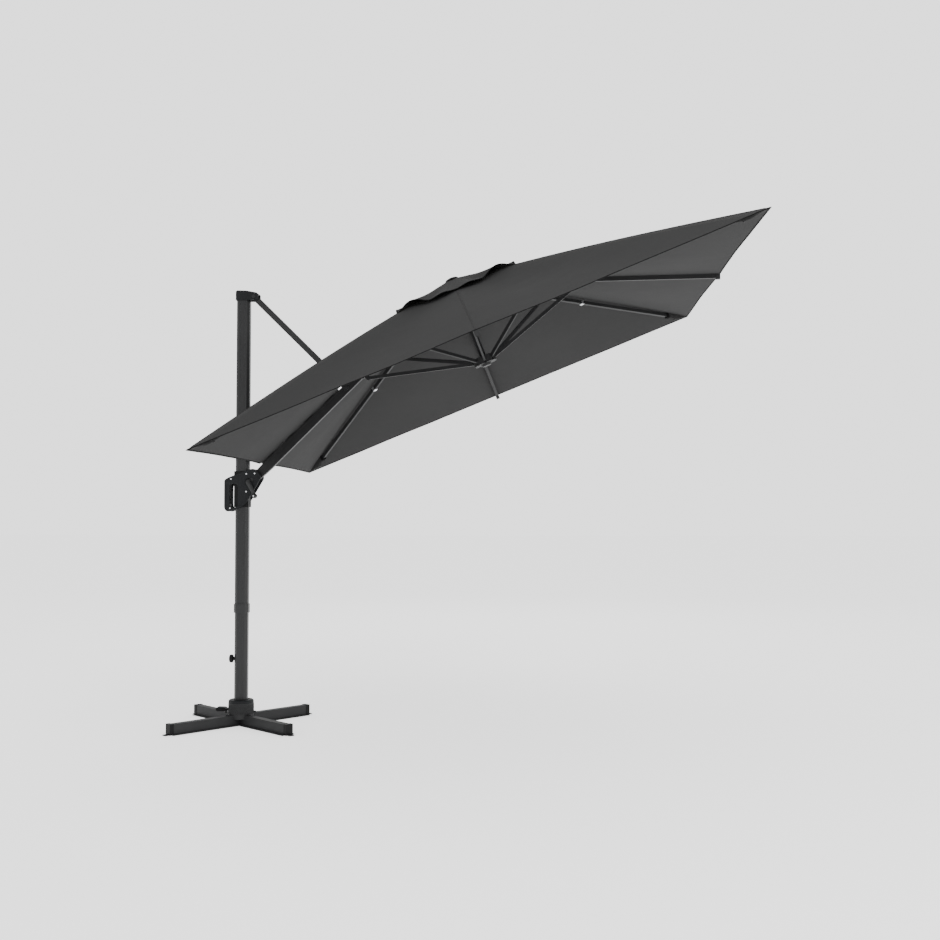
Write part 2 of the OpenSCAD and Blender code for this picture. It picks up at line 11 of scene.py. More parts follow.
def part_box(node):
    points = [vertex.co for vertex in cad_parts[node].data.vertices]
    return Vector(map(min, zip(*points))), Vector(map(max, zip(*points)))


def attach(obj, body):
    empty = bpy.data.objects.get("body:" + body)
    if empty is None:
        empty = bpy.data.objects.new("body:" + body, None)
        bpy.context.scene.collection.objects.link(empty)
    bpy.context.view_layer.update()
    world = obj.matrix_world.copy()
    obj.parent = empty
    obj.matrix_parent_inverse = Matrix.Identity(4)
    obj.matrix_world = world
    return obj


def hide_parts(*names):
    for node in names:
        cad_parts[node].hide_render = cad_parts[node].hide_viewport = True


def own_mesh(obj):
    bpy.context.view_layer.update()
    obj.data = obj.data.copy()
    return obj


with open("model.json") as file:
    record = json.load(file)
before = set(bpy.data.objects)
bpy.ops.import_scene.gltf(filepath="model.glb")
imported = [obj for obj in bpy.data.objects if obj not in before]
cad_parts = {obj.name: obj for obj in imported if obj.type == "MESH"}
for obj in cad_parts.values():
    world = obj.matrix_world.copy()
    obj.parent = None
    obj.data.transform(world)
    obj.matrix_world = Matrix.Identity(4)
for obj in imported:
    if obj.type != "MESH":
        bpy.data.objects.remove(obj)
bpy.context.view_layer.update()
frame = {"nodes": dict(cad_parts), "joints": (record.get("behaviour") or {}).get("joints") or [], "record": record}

nodes = frame["nodes"]
bodies = frame["record"]["behaviour"]["bodies"]
joints = {j["name"]: j for j in frame["joints"]}
slot_of = {p["node"]: p["material_slot"] for p in frame["record"]["subparts"]}

# ---- The canopy's own frame: U to the right edge, V to the back edge, N out of the peak ----

CANOPY_SIDE = 3.0
CANOPY_RISE = 0.587
PIVOT_HEIGHT = 0.546
HALF = CANOPY_SIDE / 2
N = -Vector(joints["runner_slide"]["axis"]).normalized()
V = Vector((0, 1, 0))
U = V.cross(N)
rib_pivots = [Vector(joints[n]["pos_m"]) for n in ("fold_right", "fold_front", "fold_back")]
PIVOT_R = (rib_pivots[2] - rib_pivots[1]).length / 2
CENTRE = rib_pivots[0] - U * PIVOT_R - N * PIVOT_HEIGHT

# Sector name and the direction of its rib, in degrees from +U
SECTORS = {
    "right": 0, "back_right": 45, "back": 90, "back_left": 135,
    "left": 180, "front_left": 225, "front": 270, "front_right": 315,
}


def at(u, v, n):
    """A point of the canopy's frame, in the row frame."""
    return CENTRE + U * u + V * v + N * n


def smooth(x, low, high):
    """0 below low, 1 above high, and a smooth step between them."""
    t = min(1.0, max(0.0, (x - low) / (high - low)))
    return t * t * (3 - 2 * t)


def rib_out(azimuth):
    """The direction along a rib in the canopy's plane, away from its middle."""
    angle = math.radians(azimuth)
    return U * math.cos(angle) + V * math.sin(angle)


def rib_side(azimuth):
    """The direction across a rib in the canopy's plane."""
    angle = math.radians(azimuth)
    return V * math.cos(angle) - U * math.sin(angle)


# ---- Materials ----


class Maker:
    """Builds one node material, a step at a time."""

    def __init__(self, name):
        self.material = bpy.data.materials.new(name)
        self.material.use_nodes = True
        self.tree = self.material.node_tree
        self.shader = self.tree.nodes["Principled BSDF"]

    def add(self, kind, **values):
        node = self.tree.nodes.new(kind)
        for key, value in values.items():
            if key in node.inputs:
                node.inputs[key].default_value = value
            else:
                setattr(node, key, value)
        return node

    def link(self, source, target):
        self.tree.links.new(source, target)

    def noise(self, scale, detail=4.0, stretch=(1, 1, 1), space="Object"):
        coordinates = self.add("ShaderNodeTexCoord")
        mapping = self.add("ShaderNodeMapping")
        mapping.inputs["Scale"].default_value = stretch
        texture = self.add("ShaderNodeTexNoise", Scale=scale, Detail=detail)
        self.link(coordinates.outputs[space], mapping.inputs["Vector"])
        self.link(mapping.outputs["Vector"], texture.inputs["Vector"])
        return texture.outputs["Fac"]

    def ramp(self, source, low, high, start=0.0, end=1.0):
        """Maps source from start..end to the numbers low..high."""
        node = self.add("ShaderNodeMapRange")
        node.inputs["From Min"].default_value = start
        node.inputs["From Max"].default_value = end
        node.inputs["To Min"].default_value = low
        node.inputs["To Max"].default_value = high
        self.link(source, node.inputs["Value"])
        return node.outputs["Result"]

    def math(self, operation, a, b):
        node = self.add("ShaderNodeMath", operation=operation)
        for socket, value in zip(node.inputs, (a, b)):
            if isinstance(value, (int, float)):
                socket.default_value = value
            else:
                self.link(value, socket)
        return node.outputs["Value"]

    def mix(self, factor, colour_a, colour_b):
        node = self.add("ShaderNodeMix", data_type="RGBA")
        self.link(factor, node.inputs["Factor"])
        for socket, value in zip((node.inputs[6], node.inputs[7]), (colour_a, colour_b)):
            if isinstance(value, tuple):
                socket.default_value = (*value, 1)
            else:
                self.link(value, socket)
        return node.outputs[2]

    def bump(self, height, strength, distance, normal=None):
        node = self.add("ShaderNodeBump", Strength=strength, Distance=distance)
        self.link(height, node.inputs["Height"])
        if normal is not None:
            self.link(normal, node.inputs["Normal"])
        return node.outputs["Normal"]

    def rounded(self, radius):
        """The normal with edges rounded to radius, and a mask that is 1 on the edges."""
        bevel = self.add("ShaderNodeBevel", samples=4)
        bevel.inputs["Radius"].default_value = radius
        geometry = self.add("ShaderNodeNewGeometry")
        product = self.add("ShaderNodeVectorMath", operation="DOT_PRODUCT")
        self.link(bevel.outputs["Normal"], product.inputs[0])
        self.link(geometry.outputs["Normal"], product.inputs[1])
        return bevel.outputs["Normal"], self.ramp(product.outputs["Value"], 1.0, 0.0, 0.80, 0.985)


def scaled(colour, share, extra=0.0):
    """A lighter or darker tone of a colour."""
    return tuple(c * share + extra for c in colour)


def coated_metal(name, colour, worn, rough, speckle, shine, edge=0.0012):
    """Powder coat: an orange-peel bump, uneven gloss, and a paler line worn along the edges."""
    m = Maker(name)
    normal, edges = m.rounded(edge)
    patches = m.noise(5.0, 5.0)
    grains = m.noise(900.0, 2.0)
    scuffs = m.noise(60.0, 6.0, (1, 1, 0.15))
    wear = m.math("MULTIPLY", edges, m.ramp(scuffs, 0.15, 1.0, 0.40, 0.62))
    tone = m.mix(m.ramp(patches, 0.0, 1.0, 0.3, 0.7), colour, scaled(colour, 1.22, 0.002))
    dusty = m.mix(m.ramp(grains, 0.0, speckle, 0.45, 0.75), tone, worn)
    m.link(m.mix(wear, dusty, worn), m.shader.inputs["Base Color"])
    gloss = m.math("ADD", m.ramp(patches, rough - 0.05, rough + 0.05), m.ramp(scuffs, -0.03, 0.05))
    m.link(gloss, m.shader.inputs["Roughness"])
    m.link(m.bump(grains, 0.18, 0.0004, normal), m.shader.inputs["Normal"])
    m.shader.inputs["Specular IOR Level"].default_value = shine
    return m.material


def moulded_plastic(name, colour, rough):
    """Black moulding with a fine spark texture and slightly rubbed edges."""
    m = Maker(name)
    normal, edges = m.rounded(0.0015)
    grain = m.noise(1400.0, 2.0)
    rubbed = m.noise(35.0, 5.0)
    tone = m.mix(m.ramp(rubbed, 0.0, 1.0, 0.3, 0.7), colour, scaled(colour, 1.35, 0.002))
    m.link(m.mix(m.math("MULTIPLY", edges, 0.35), tone, scaled(colour, 3)),
           m.shader.inputs["Base Color"])
    m.link(m.ramp(rubbed, rough - 0.08, rough + 0.08, 0.3, 0.7), m.shader.inputs["Roughness"])
    m.link(m.bump(grain, 0.25, 0.0003, normal), m.shader.inputs["Normal"])
    m.shader.inputs["Specular IOR Level"].default_value = 0.12
    return m.material


def bright_metal(name, colour, rough):
    """Zinc-plated steel with fine turning marks."""
    m = Maker(name)
    normal, edges = m.rounded(0.0006)
    lines = m.noise(350.0, 3.0, (1, 8, 1))
    clouds = m.noise(40.0, 4.0)
    m.link(m.mix(m.ramp(clouds, 0.0, 1.0, 0.3, 0.7), colour, scaled(colour, 0.78)),
           m.shader.inputs["Base Color"])
    m.link(m.ramp(lines, rough - 0.08, rough + 0.12), m.shader.inputs["Roughness"])
    m.link(m.bump(lines, 0.12, 0.0002, normal), m.shader.inputs["Normal"])
    m.shader.inputs["Metallic"].default_value = 1.0
    return m.material


# Threads per metre, stitches per metre and the distance between rows of stitches, in the fabric's UV map, in metres
THREADS = 900.0
STITCHES = 240.0
STITCH_ROWS = 0.009
TURN = 2 * math.pi


def woven_fabric(name, colour, stitched=False):
    """Woven polyester: crossing threads, slubs along them, soft creases and sun-faded patches."""
    m = Maker(name)
    coordinates = m.add("ShaderNodeTexCoord")
    split = m.add("ShaderNodeSeparateXYZ")
    m.link(coordinates.outputs["UV"], split.inputs["Vector"])
    across = m.math("SINE", m.math("MULTIPLY", split.outputs["X"], THREADS * TURN), 0)
    along = m.math("SINE", m.math("MULTIPLY", split.outputs["Y"], THREADS * TURN), 0)
    weave = m.math("MULTIPLY", across, along)
    warp_slubs = m.noise(1.0, 3.0, (420, 14, 1), "UV")
    weft_slubs = m.noise(1.0, 3.0, (14, 420, 1), "UV")
    slubs = m.math("ADD", warp_slubs, weft_slubs)
    patches = m.noise(2.2, 5.0)
    creases = m.noise(7.0, 6.0, (1.0, 1.0, 0.7))
    faded = m.mix(m.ramp(patches, 0.0, 1.0, 0.30, 0.70), scaled(colour, 0.93), scaled(colour, 1.08))
    threads = m.mix(m.ramp(slubs, 0.0, 1.0, 0.75, 1.25), faded, scaled(colour, 1.18))
    height = m.math("ADD", m.math("MULTIPLY", weave, 0.25), slubs)
    if stitched:
        stitch = m.math("SINE", m.math("MULTIPLY", split.outputs["Y"], STITCHES * TURN), 0)
        rows = m.math("SINE", m.math("MULTIPLY", split.outputs["X"], TURN / STITCH_ROWS), 0)
        thread = m.math("MULTIPLY", m.ramp(stitch, 0.0, 1.0, -0.2, 0.2), m.ramp(rows, 0.0, 1.0, 0.80, 0.95))
        threads = m.mix(thread, threads, scaled(colour, 1.6))
        height = m.math("ADD", height, m.math("MULTIPLY", thread, 2.0))
    m.link(threads, m.shader.inputs["Base Color"])
    m.link(m.ramp(slubs, 0.78, 0.92, 0.7, 1.3), m.shader.inputs["Roughness"])
    fine = m.bump(height, 0.10, 0.0004)
    m.link(m.bump(creases, 0.10, 0.012, fine), m.shader.inputs["Normal"])
    m.shader.inputs["Sheen Weight"].default_value = 0.02
    m.shader.inputs["Sheen Roughness"].default_value = 0.45
    m.shader.inputs["Specular IOR Level"].default_value = 0.05
    return m.material


FABRIC = (0.0262, 0.0262, 0.0263)
# Near-black tone of the hem binding: painted shade for the thin shadow line along every hem
BINDING_PAINTED_SHADE = (0.0035, 0.0035, 0.0037)
finishes = {
    "base_steel": coated_metal("base_steel", (0.0150, 0.0152, 0.0157), (0.050, 0.051, 0.053), 0.50, 0.30, 0.16),
    "grey_frame": coated_metal("grey_frame", (0.0085, 0.0087, 0.0091), (0.046, 0.047, 0.049), 0.38, 0.30, 0.30),
    "black_frame": coated_metal("black_frame", (0.0140, 0.0142, 0.0146), (0.034, 0.0345, 0.035), 0.45, 0.15, 0.12),
    "slate_castings": coated_metal("slate_castings", (0.0062, 0.0067, 0.0075), (0.032, 0.034, 0.037), 0.52, 0.40,
                                   0.13, 0.002),
    "black_plastic": moulded_plastic("black_plastic", (0.0040, 0.0040, 0.0045), 0.50),
    "bright_steel": bright_metal("bright_steel", (0.80, 0.81, 0.83), 0.30),
    "canopy_fabric": woven_fabric("canopy_fabric", FABRIC),
}
# The seams' fabric, a darker tone of the canopy's: painted shade for the faint shaded line along each seam
shaded_seam_fabric = woven_fabric("shaded_seam_fabric", scaled(FABRIC, 0.80), stitched=True)
# The hem binding material: its near-black colour is painted shadow along the hems and the pockets' mouths
shaded_binding = woven_fabric("shaded_binding", BINDING_PAINTED_SHADE, stitched=True)
# The corner pockets' fabric, darker than the canopy's: painted shade for the dark slot of the pocket's opening
shaded_pocket_fabric = woven_fabric("shaded_pocket_fabric", scaled(FABRIC, 0.70), stitched=True)

for node_name, node in nodes.items():
    node.data.materials.clear()
    node.data.materials.append(finishes[slot_of[node_name]])

# ---- Building pieces ----


def new_object(name, mesh, body, slot, material=None):
    """Links a mesh as a piece that rides on a body, with its finish."""
    piece = bpy.data.objects.new(name, mesh)
    bpy.context.scene.collection.objects.link(piece)
    mesh.materials.append(material or finishes[slot])
    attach(piece, body)
    return piece


def shade_smooth(mesh, angle=35):
    """Smooth shading that keeps edges sharper than angle, in degrees."""
    mesh.polygons.foreach_set("use_smooth", [True] * len(mesh.polygons))
    mesh.set_sharp_from_angle(angle=math.radians(angle))


def finished_mesh(name, b):
    """The mesh of a bmesh, with its faces turned outward."""
    bmesh.ops.recalc_face_normals(b, faces=b.faces)
    mesh = bpy.data.meshes.new(name)
    b.to_mesh(mesh)
    b.free()
    return mesh


def circle(count):
    """The angles of evenly spread places round a circle."""
    return [TURN * k / count for k in range(count)]


def close_rings(b, rings):
    """Skins a row of rings and closes both ends."""
    count = len(rings[0])
    for first, second in zip(rings, rings[1:]):
        for k in range(count):
            after = (k + 1) % count
            b.faces.new([first[k], first[after], second[after], second[k]])
    b.faces.new(list(reversed(rings[0])))
    b.faces.new(rings[-1])


def lathe(name, profile, origin, axis, segments=48):
    """A turned solid: profile is (distance along axis, radius), from end to end."""
    b = bmesh.new()
    rings = []
    for along, radius in profile:
        rings.append([b.verts.new((radius * math.cos(a), radius * math.sin(a), along)) for a in circle(segments)])
    close_rings(b, rings)
    mesh = finished_mesh(name, b)
    turn = Vector(axis).to_track_quat("Z", "Y").to_matrix().to_4x4()
    mesh.transform(Matrix.Translation(origin) @ turn)
    shade_smooth(mesh, 35)
    return mesh


def tube(name, path, radii, flatten=1.0, side=Vector((0, 1, 0)), segments=20):
    """A closed swept solid with its own radius at each point of the path."""
    b = bmesh.new()
    rings = []
    for i, p in enumerate(path):
        along = (path[min(i + 1, len(path) - 1)] - path[max(i - 1, 0)]).normalized()
        first = (side - along * side.dot(along)).normalized()
        second = along.cross(first)
        ring = []
        for angle in circle(segments):
            offset = first * (math.cos(angle) * radii[i] * flatten) + second * (math.sin(angle) * radii[i])
            ring.append(b.verts.new(p + offset))
        rings.append(ring)
    close_rings(b, rings)
    mesh = finished_mesh(name, b)
    shade_smooth(mesh, 40)
    return mesh


def flowing(points, count):
    """A smooth curve through a few points."""
    out = []
    for k in range(len(points) - 1):
        a = points[max(0, k - 1)]
        b, c = points[k], points[k + 1]
        d = points[min(len(points) - 1, k + 2)]
        for i in range(count):
            t = i / count
            bend = (2 * a - 5 * b + 4 * c - d) * t ** 2 + (3 * b - 3 * c + d - a) * t ** 3
            out.append(0.5 * (2 * b + (c - a) * t + bend))
    return out + [points[-1]]


def shell(name, top, under, uv, cut=None):
    """A closed thin sheet between two grids of points, with a UV map in metres.
    cut is called on the upper grid's own mesh before the sheet is given its thickness."""
    rows, columns = len(top), len(top[0])
    b = bmesh.new()
    metres = b.loops.layers.uv.new("metres")
    drops = [b.verts.layers.float.new("drop_" + axis) for axis in "xyz"]
    verts = {}
    for i in range(rows):
        for j in range(columns):
            vert = b.verts.new(top[i][j])
            for layer, value in zip(drops, under[i][j] - top[i][j]):
                vert[layer] = value
            verts[i, j] = vert
    for i in range(rows - 1):
        for j in range(columns - 1):
            ring = [(i, j), (i + 1, j), (i + 1, j + 1), (i, j + 1)]
            face = b.faces.new([verts[c] for c in ring])
            for loop, (row, column) in zip(face.loops, ring):
                loop[metres].uv = uv[row][column]
    if cut:
        cut(b)
    faces = list(b.faces)
    edges = [e for e in b.edges if e.is_boundary]
    below = {v: b.verts.new(v.co + Vector([v[layer] for layer in drops])) for v in list(b.verts)}
    for face in faces:
        under_face = b.faces.new([below[v] for v in reversed(face.verts)])
        for loop, source in zip(under_face.loops, reversed(face.loops)):
            loop[metres].uv = source[metres].uv
    for edge in edges:
        source = edge.link_loops[0]
        first, second = source.vert, source.link_loop_next.vert
        side = b.faces.new([second, first, below[first], below[second]])
        near, far = source[metres].uv.copy(), source.link_loop_next[metres].uv.copy()
        for loop, value in zip(side.loops, (far, near, near, far)):
            loop[metres].uv = value
    for layer_name in ("drop_x", "drop_y", "drop_z"):
        b.verts.layers.float.remove(b.verts.layers.float[layer_name])
    return finished_mesh(name, b)


# ---- The canopy's surface ----

# Thickness of a sheet, its hollow between two ribs at mid-length and at the edge, and how far the edge curves in
SHEET = 0.0012
SAG = 0.016
EDGE_SAG = 0.002
SCALLOP = 0.015
# How far the fabric bows up along a corner rib
BULGE = 0.017
# Waves per metre, height and noise layer of the fabric's broad and fine ripples
BROAD_RIPPLE = (2.6, 0.0035, 0.5)
FINE_RIPPLE = (9.0, 0.0009, 2.5)
# Shares of the half side at which the vent opens and its cap ends
VENT = 0.127
CAP_EDGE = 0.247
# The cap's height over the fabric, its humps beside the corners and in mid-side, and the place of its ties
CAP_GAP = 0.012
CAP_HUMP = 0.040
CAP_WAVE = 0.010
CAP_TIE = 0.45
# Width of the hem, and how far it stands over the sheet
BINDING_WIDTH = 0.008
HEM_LIFTS = (0.0002, 0.0011, 0.0012, 0.0002)
# Half the angle that one sector covers, in degrees
HALF_SECTOR = 22.5


def rib_share(theta):
    """0 on a rib and 1 half-way between two ribs, for a direction in degrees."""
    off = (theta + HALF_SECTOR) % (2 * HALF_SECTOR) - HALF_SECTOR
    return abs(off) / HALF_SECTOR


def plan(s, theta, pull=1.0):
    """The point at share s of the way to the square's edge, in a direction."""
    angle = math.radians(theta)
    c, d = math.cos(angle), math.sin(angle)
    reach = s * HALF / max(abs(c), abs(d))
    reach *= 1 - pull * SCALLOP / HALF * math.sin(math.pi / 2 * rib_share(theta)) * s ** 4
    return reach * c, reach * d


def ripple(u, v, density, height, layer):
    """Shallow waves in the fabric, with density in waves per metre."""
    return noise.noise(Vector((u * density, v * density, layer))) * height


def fabric_height(s, theta, u, v):
    """Height of the stretched fabric: a pyramid that sags between its ribs and bows over its hips."""
    share = rib_share(theta)
    hip = abs(math.sin(math.radians(2 * theta))) ** 6
    height = CANOPY_RISE * (1 - s)
    hollow = SAG * 4 * s * (1 - s) + EDGE_SAG * s ** 2
    height -= hollow * math.sin(math.pi / 2 * share) ** 1.3
    height += BULGE * math.sin(math.pi * s) * hip
    waves = ripple(u, v, *BROAD_RIPPLE) + ripple(u, v, *FINE_RIPPLE)
    return height + waves * share * smooth(s, 0.0, 0.3)


def fabric_point(s, theta, lift=0.0):
    """A point of the stretched fabric, or one lifted off it along the canopy's axis."""
    u, v = plan(s, theta)
    return at(u, v, fabric_height(s, theta, u, v) + lift)


def cap_point(s, theta, lift=0.0):
    """The vent's cap: tied down at its corners and at four places on its sides, and loose between them."""
    u, v = plan(s, theta, 0.0)
    out = s / CAP_EDGE
    along = math.tan(math.radians(abs((theta + 45) % 90 - 45)))
    if along > CAP_TIE:
        wave = CAP_HUMP * math.sin(math.pi * (along - CAP_TIE) / (1 - CAP_TIE)) ** 1.5
    else:
        wave = CAP_WAVE * math.sin(math.pi * along / CAP_TIE) ** 2
    return at(u, v, CANOPY_RISE * (1 - s) + CAP_GAP + wave * out ** 2.5 + lift)


def spread(low, high, count):
    """Evenly spaced values from low to high."""
    return [low + (high - low) * i / (count - 1) for i in range(count)]


def sector_angles(azimuth, count):
    """Directions from one side of a sector to the other."""
    return spread(azimuth - HALF_SECTOR, azimuth + HALF_SECTOR, count)


def patch(name, surface, shares, angles, cut=None):
    """A sheet over part of a surface, and the area of its upper side."""
    top = [[surface(s, a) for a in angles] for s in shares]
    under = [[surface(s, a, -SHEET) for a in angles] for s in shares]
    middle = angles[len(angles) // 2]
    out = Vector((math.cos(math.radians(middle)), math.sin(math.radians(middle))))
    side = Vector((-out.y, out.x))
    uv = []
    for row in top:
        flat = [((p - CENTRE).dot(U), (p - CENTRE).dot(V)) for p in row]
        uv.append([(Vector(q).dot(side), Vector(q).dot(out)) for q in flat])
    area = 0.0
    for upper, lower in zip(top, top[1:]):
        for j in range(len(angles) - 1):
            area += (lower[j] - upper[j]).cross(lower[j + 1] - upper[j]).length / 2
            area += (lower[j + 1] - upper[j]).cross(upper[j + 1] - upper[j]).length / 2
    return shell(name, top, under, uv, cut), area


def surface_normal(surface, s, theta):
    """The direction that a surface faces, from four points round the place."""
    step, turn = 0.004, 0.6
    out = surface(s + step, theta) - surface(s - step, theta)
    across = surface(s, theta + turn) - surface(s, theta - turn)
    return out.cross(across).normalized()


def smooth_sheet(mesh, surface):
    """Shades a sheet by its surface's own slope, so that it runs on without a break into the next one."""
    shade_smooth(mesh, 60)
    facing = []
    for vertex in mesh.vertices:
        place = vertex.co - CENTRE
        u, v = place.dot(U), place.dot(V)
        facing.append(surface_normal(surface, max(0.02, max(abs(u), abs(v)) / HALF), math.degrees(math.atan2(v, u))))
    normals = []
    for face in mesh.polygons:
        upward = face.normal.dot(N)
        for vertex in face.vertices:
            if abs(upward) < 0.3:
                normals.append(face.normal.copy())
            else:
                normals.append(facing[vertex] * math.copysign(1, upward))
    mesh.normals_split_custom_set(normals)


def sector_body(name):
    """The body that carries a sector: its rib, or the boom in the left one."""
    return "boom" if name == "left" else "rib_" + name


def gather(piece):
    """Gives the piece a mesh of its own."""
    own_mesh(piece)


# The slit for the support strut: its half width, and its start as a share of the half side
SLIT_HALF = 0.029
SLIT_START = 0.5267


def cut_slit(b):
    """Opens the slit over the boom that the support strut passes through."""
    start = -SLIT_START * HALF
    for place, facing in (((0, SLIT_HALF, 0), V), ((0, -SLIT_HALF, 0), V), (at(start, 0, 0), U)):
        everything = b.verts[:] + b.edges[:] + b.faces[:]
        bmesh.ops.bisect_plane(b, geom=everything, plane_co=place, plane_no=facing)
    inside = []
    for face in b.faces:
        middle = face.calc_center_median()
        if abs(middle.y) < SLIT_HALF and (middle - CENTRE).dot(U) < start:
            inside.append(face)
    bmesh.ops.delete(b, geom=inside, context="FACES")


def trim_band(name, surface, azimuth, edge, width, body, cut=None):
    """A folded hem round the edge of a sheet, with a stitched inner side, in a near-black tone that paints the
    shadow line along the hem.
    """
    angles = sector_angles(azimuth, 49)
    shares = [edge - width / HALF, edge - width / HALF * 0.97, edge - 0.002 / HALF, edge + 0.001 / HALF]
    top = [[surface(s, a, h) for a in angles] for s, h in zip(shares, HEM_LIFTS)]
    under = [[surface(s, a, -SHEET - h) for a in angles] for s, h in zip(shares, HEM_LIFTS)]
    along = [0.0]
    for a, b in zip(top[-1], top[-1][1:]):
        along.append(along[-1] + (b - a).length)
    uv = [[(s * HALF, d) for d in along] for s in shares]
    mesh = shell(name, top, under, uv, cut)
    shade_smooth(mesh, 50)
    return new_object(name, mesh, body, "canopy_fabric", shaded_binding)


# Width of the felled seam, how far it stands over and under the fabric, and the fabric's slope beside
# a corner rib and beside a mid rib
SEAM_WIDTH = 0.011
SEAM_OVER = 0.0014
SEAM_UNDER = 0.0008
CORNER_SLOPE = 0.32
MID_SLOPE = 0.03


def rib_seam(name, azimuth, body, cut=None):
    """The felled seam over a rib, with two rows of stitches, in a darker tone that paints the shade along the seam.
    """
    half = SEAM_WIDTH / 2
    stations = spread(VENT, 0.985, 61)
    across = spread(-1, 1, 7)
    side = rib_side(azimuth)
    drop = half * (CORNER_SLOPE if azimuth % 90 else MID_SLOPE)
    top, under, uv = [], [], []
    for s in stations:
        ridge = fabric_point(s, azimuth)
        top.append([ridge + side * (x * half) + N * (SEAM_OVER * (1 - x ** 4) - abs(x) * drop) for x in across])
        under.append([ridge + side * (x * half) - N * (SEAM_UNDER + abs(x) * drop) for x in across])
        distance = (ridge - CENTRE).dot(rib_out(azimuth))
        uv.append([(x * half, distance) for x in across])
    mesh = shell("seam_" + name, top, under, uv, cut)
    shade_smooth(mesh, 50)
    return new_object("seam_" + name, mesh, body, "canopy_fabric", shaded_seam_fabric)


def canopy_sector(name):
    """One sewn sector of the canopy with its part of the vent's cap, their hems and the seam over the rib."""
    azimuth = SECTORS[name]
    body = sector_body(name)
    cut = cut_slit if name == "left" else None
    mesh, area = patch("canopy_sheet_" + name, fabric_point, spread(VENT, 1.0, 61), sector_angles(azimuth, 25), cut)
    smooth_sheet(mesh, fabric_point)
    piece = new_object("canopy_sheet_" + name, mesh, body, "canopy_fabric")
    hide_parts("canopy_" + name)
    cap, cap_area = patch("vent_cap_" + name, cap_point, spread(0.02, CAP_EDGE, 17), sector_angles(azimuth, 49))
    smooth_sheet(cap, cap_point)
    lid = new_object("vent_cap_" + name, cap, body, "canopy_fabric")
    hem = trim_band("hem_" + name, fabric_point, azimuth, 1.0, BINDING_WIDTH, body, cut)
    cap_hem = trim_band("cap_hem_" + name, cap_point, azimuth, CAP_EDGE, BINDING_WIDTH, body)
    seam = rib_seam(name, azimuth, body, cut)
    for soft in (piece, lid, hem, cap_hem, seam):
        gather(soft)


# ---- Pieces sewn to the canopy ----

# Sleeve under a corner: its length, half width and depth at the mouth, and the fall of the fabric beside the rib
POCKET_LENGTH = 0.235
POCKET_HALF = 0.0175
POCKET_DEPTH = 0.038
POCKET_FALL = 0.2767
# Place of the tension peg along a corner rib, as a share of the half side
PEG_SHARE = 0.925
# Flap over the slit: its start as a share of the half side, and its half width
FLAP_START = 0.595
FLAP_HALF = 0.040


def sleeve(name, corner, first, last, grow, material):
    """Part of the fabric sleeve that hangs under a corner of the canopy, between two places along it."""
    azimuth = SECTORS[corner]
    side = rib_side(azimuth)
    start = 1 - POCKET_LENGTH / (HALF * math.sqrt(2))
    row = spread(-1, 1, 17)
    top, under, uv = [], [], []
    for share in spread(first, last, 19):
        slim = smooth(share, 0.40, 1.0)
        half = POCKET_HALF * (1 - 0.62 * slim) + grow
        depth = POCKET_DEPTH * (1 - 0.86 * slim) + grow
        ridge = fabric_point(start + share * (0.990 - start), azimuth, -SHEET - 0.0004)
        line = []
        for x in row:
            roof = ridge + side * (x * half) - N * (abs(x) * half * POCKET_FALL)
            line.append(roof - N * (0.0012 + depth * (max(0.0, 1 - x ** 4)) ** 0.5))
        under.append(line)
        top.append([p + N * 0.0012 for p in line])
        uv.append([(x * half, share * POCKET_LENGTH) for x in row])
    mesh = shell(name + corner, top, under, uv)
    shade_smooth(mesh, 50)
    piece = new_object(name + corner, mesh, "rib_" + corner, "canopy_fabric", material)
    gather(piece)
    return piece


def corner_pocket(corner):
    """The sleeve that takes the end of a corner rib, with its bound mouth; the sleeve's darker tone and the mouth's
    near-black binding are painted shade in the pocket's opening.
    """
    sleeve("corner_pocket_", corner, 0.0, 1.0, 0.0, shaded_pocket_fabric)
    sleeve("pocket_mouth_", corner, -0.02, 0.075, 0.0009, shaded_binding)


def rib_peg(corner):
    """The small peg under a corner rib that the canopy's tensioning loop hooks on."""
    top = fabric_point(PEG_SHARE, SECTORS[corner], -0.026)
    profile = [(0.0, 0.0060), (0.012, 0.0055), (0.013, 0.0080), (0.017, 0.0085), (0.020, 0.0070), (0.021, 0.003)]
    mesh = lathe("rib_peg_" + corner, profile, top, -N, 24)
    return new_object("rib_peg_" + corner, mesh, "rib_" + corner, "black_plastic")


def slit_flap():
    """The flap that closes the slit over the boom, outward of the support strut."""
    row = spread(-1, 1, 13)
    top, under, uv = [], [], []
    for s in spread(FLAP_START, 0.998, 41):
        ridge = fabric_point(s, 180)
        billow = 0.0035 * math.sin(s * 61.0)
        top.append([ridge + V * (x * FLAP_HALF) + N * (0.0035 + (0.003 + billow) * (1 - x * x)) for x in row])
        under.append([p - N * SHEET for p in top[-1]])
        uv.append([(x * FLAP_HALF, s * HALF) for x in row])
    mesh = shell("slit_flap", top, under, uv)
    shade_smooth(mesh, 50)
    piece = new_object("slit_flap", mesh, "boom", "canopy_fabric")
    gather(piece)


# ---- Carriage ----


def filleted(corners, radius, steps=6):
    """The outline with each corner rounded, as points."""
    out = []
    count = len(corners)
    for i, corner in enumerate(corners):
        here = Vector(corner)
        before = Vector(corners[i - 1])
        after = Vector(corners[(i + 1) % count])
        reach = min(radius, (before - here).length * 0.45, (after - here).length * 0.45)
        a = here + (before - here).normalized() * reach
        b = here + (after - here).normalized() * reach
        for k in range(steps + 1):
            t = k / steps
            out.append((1 - t) ** 2 * a + 2 * t * (1 - t) * here + t * t * b)
    return out


def inset(corners, amount):
    """The outline moved inward, each point along the middle of its corner."""
    out = []
    for i, corner in enumerate(corners):
        here = Vector(corner)
        a = (here - Vector(corners[i - 1])).normalized()
        b = (Vector(corners[(i + 1) % len(corners)]) - here).normalized()
        middle = (Vector((a.y, -a.x)) + Vector((b.y, -b.x))).normalized()
        out.append(tuple(here + middle * amount))
    return out


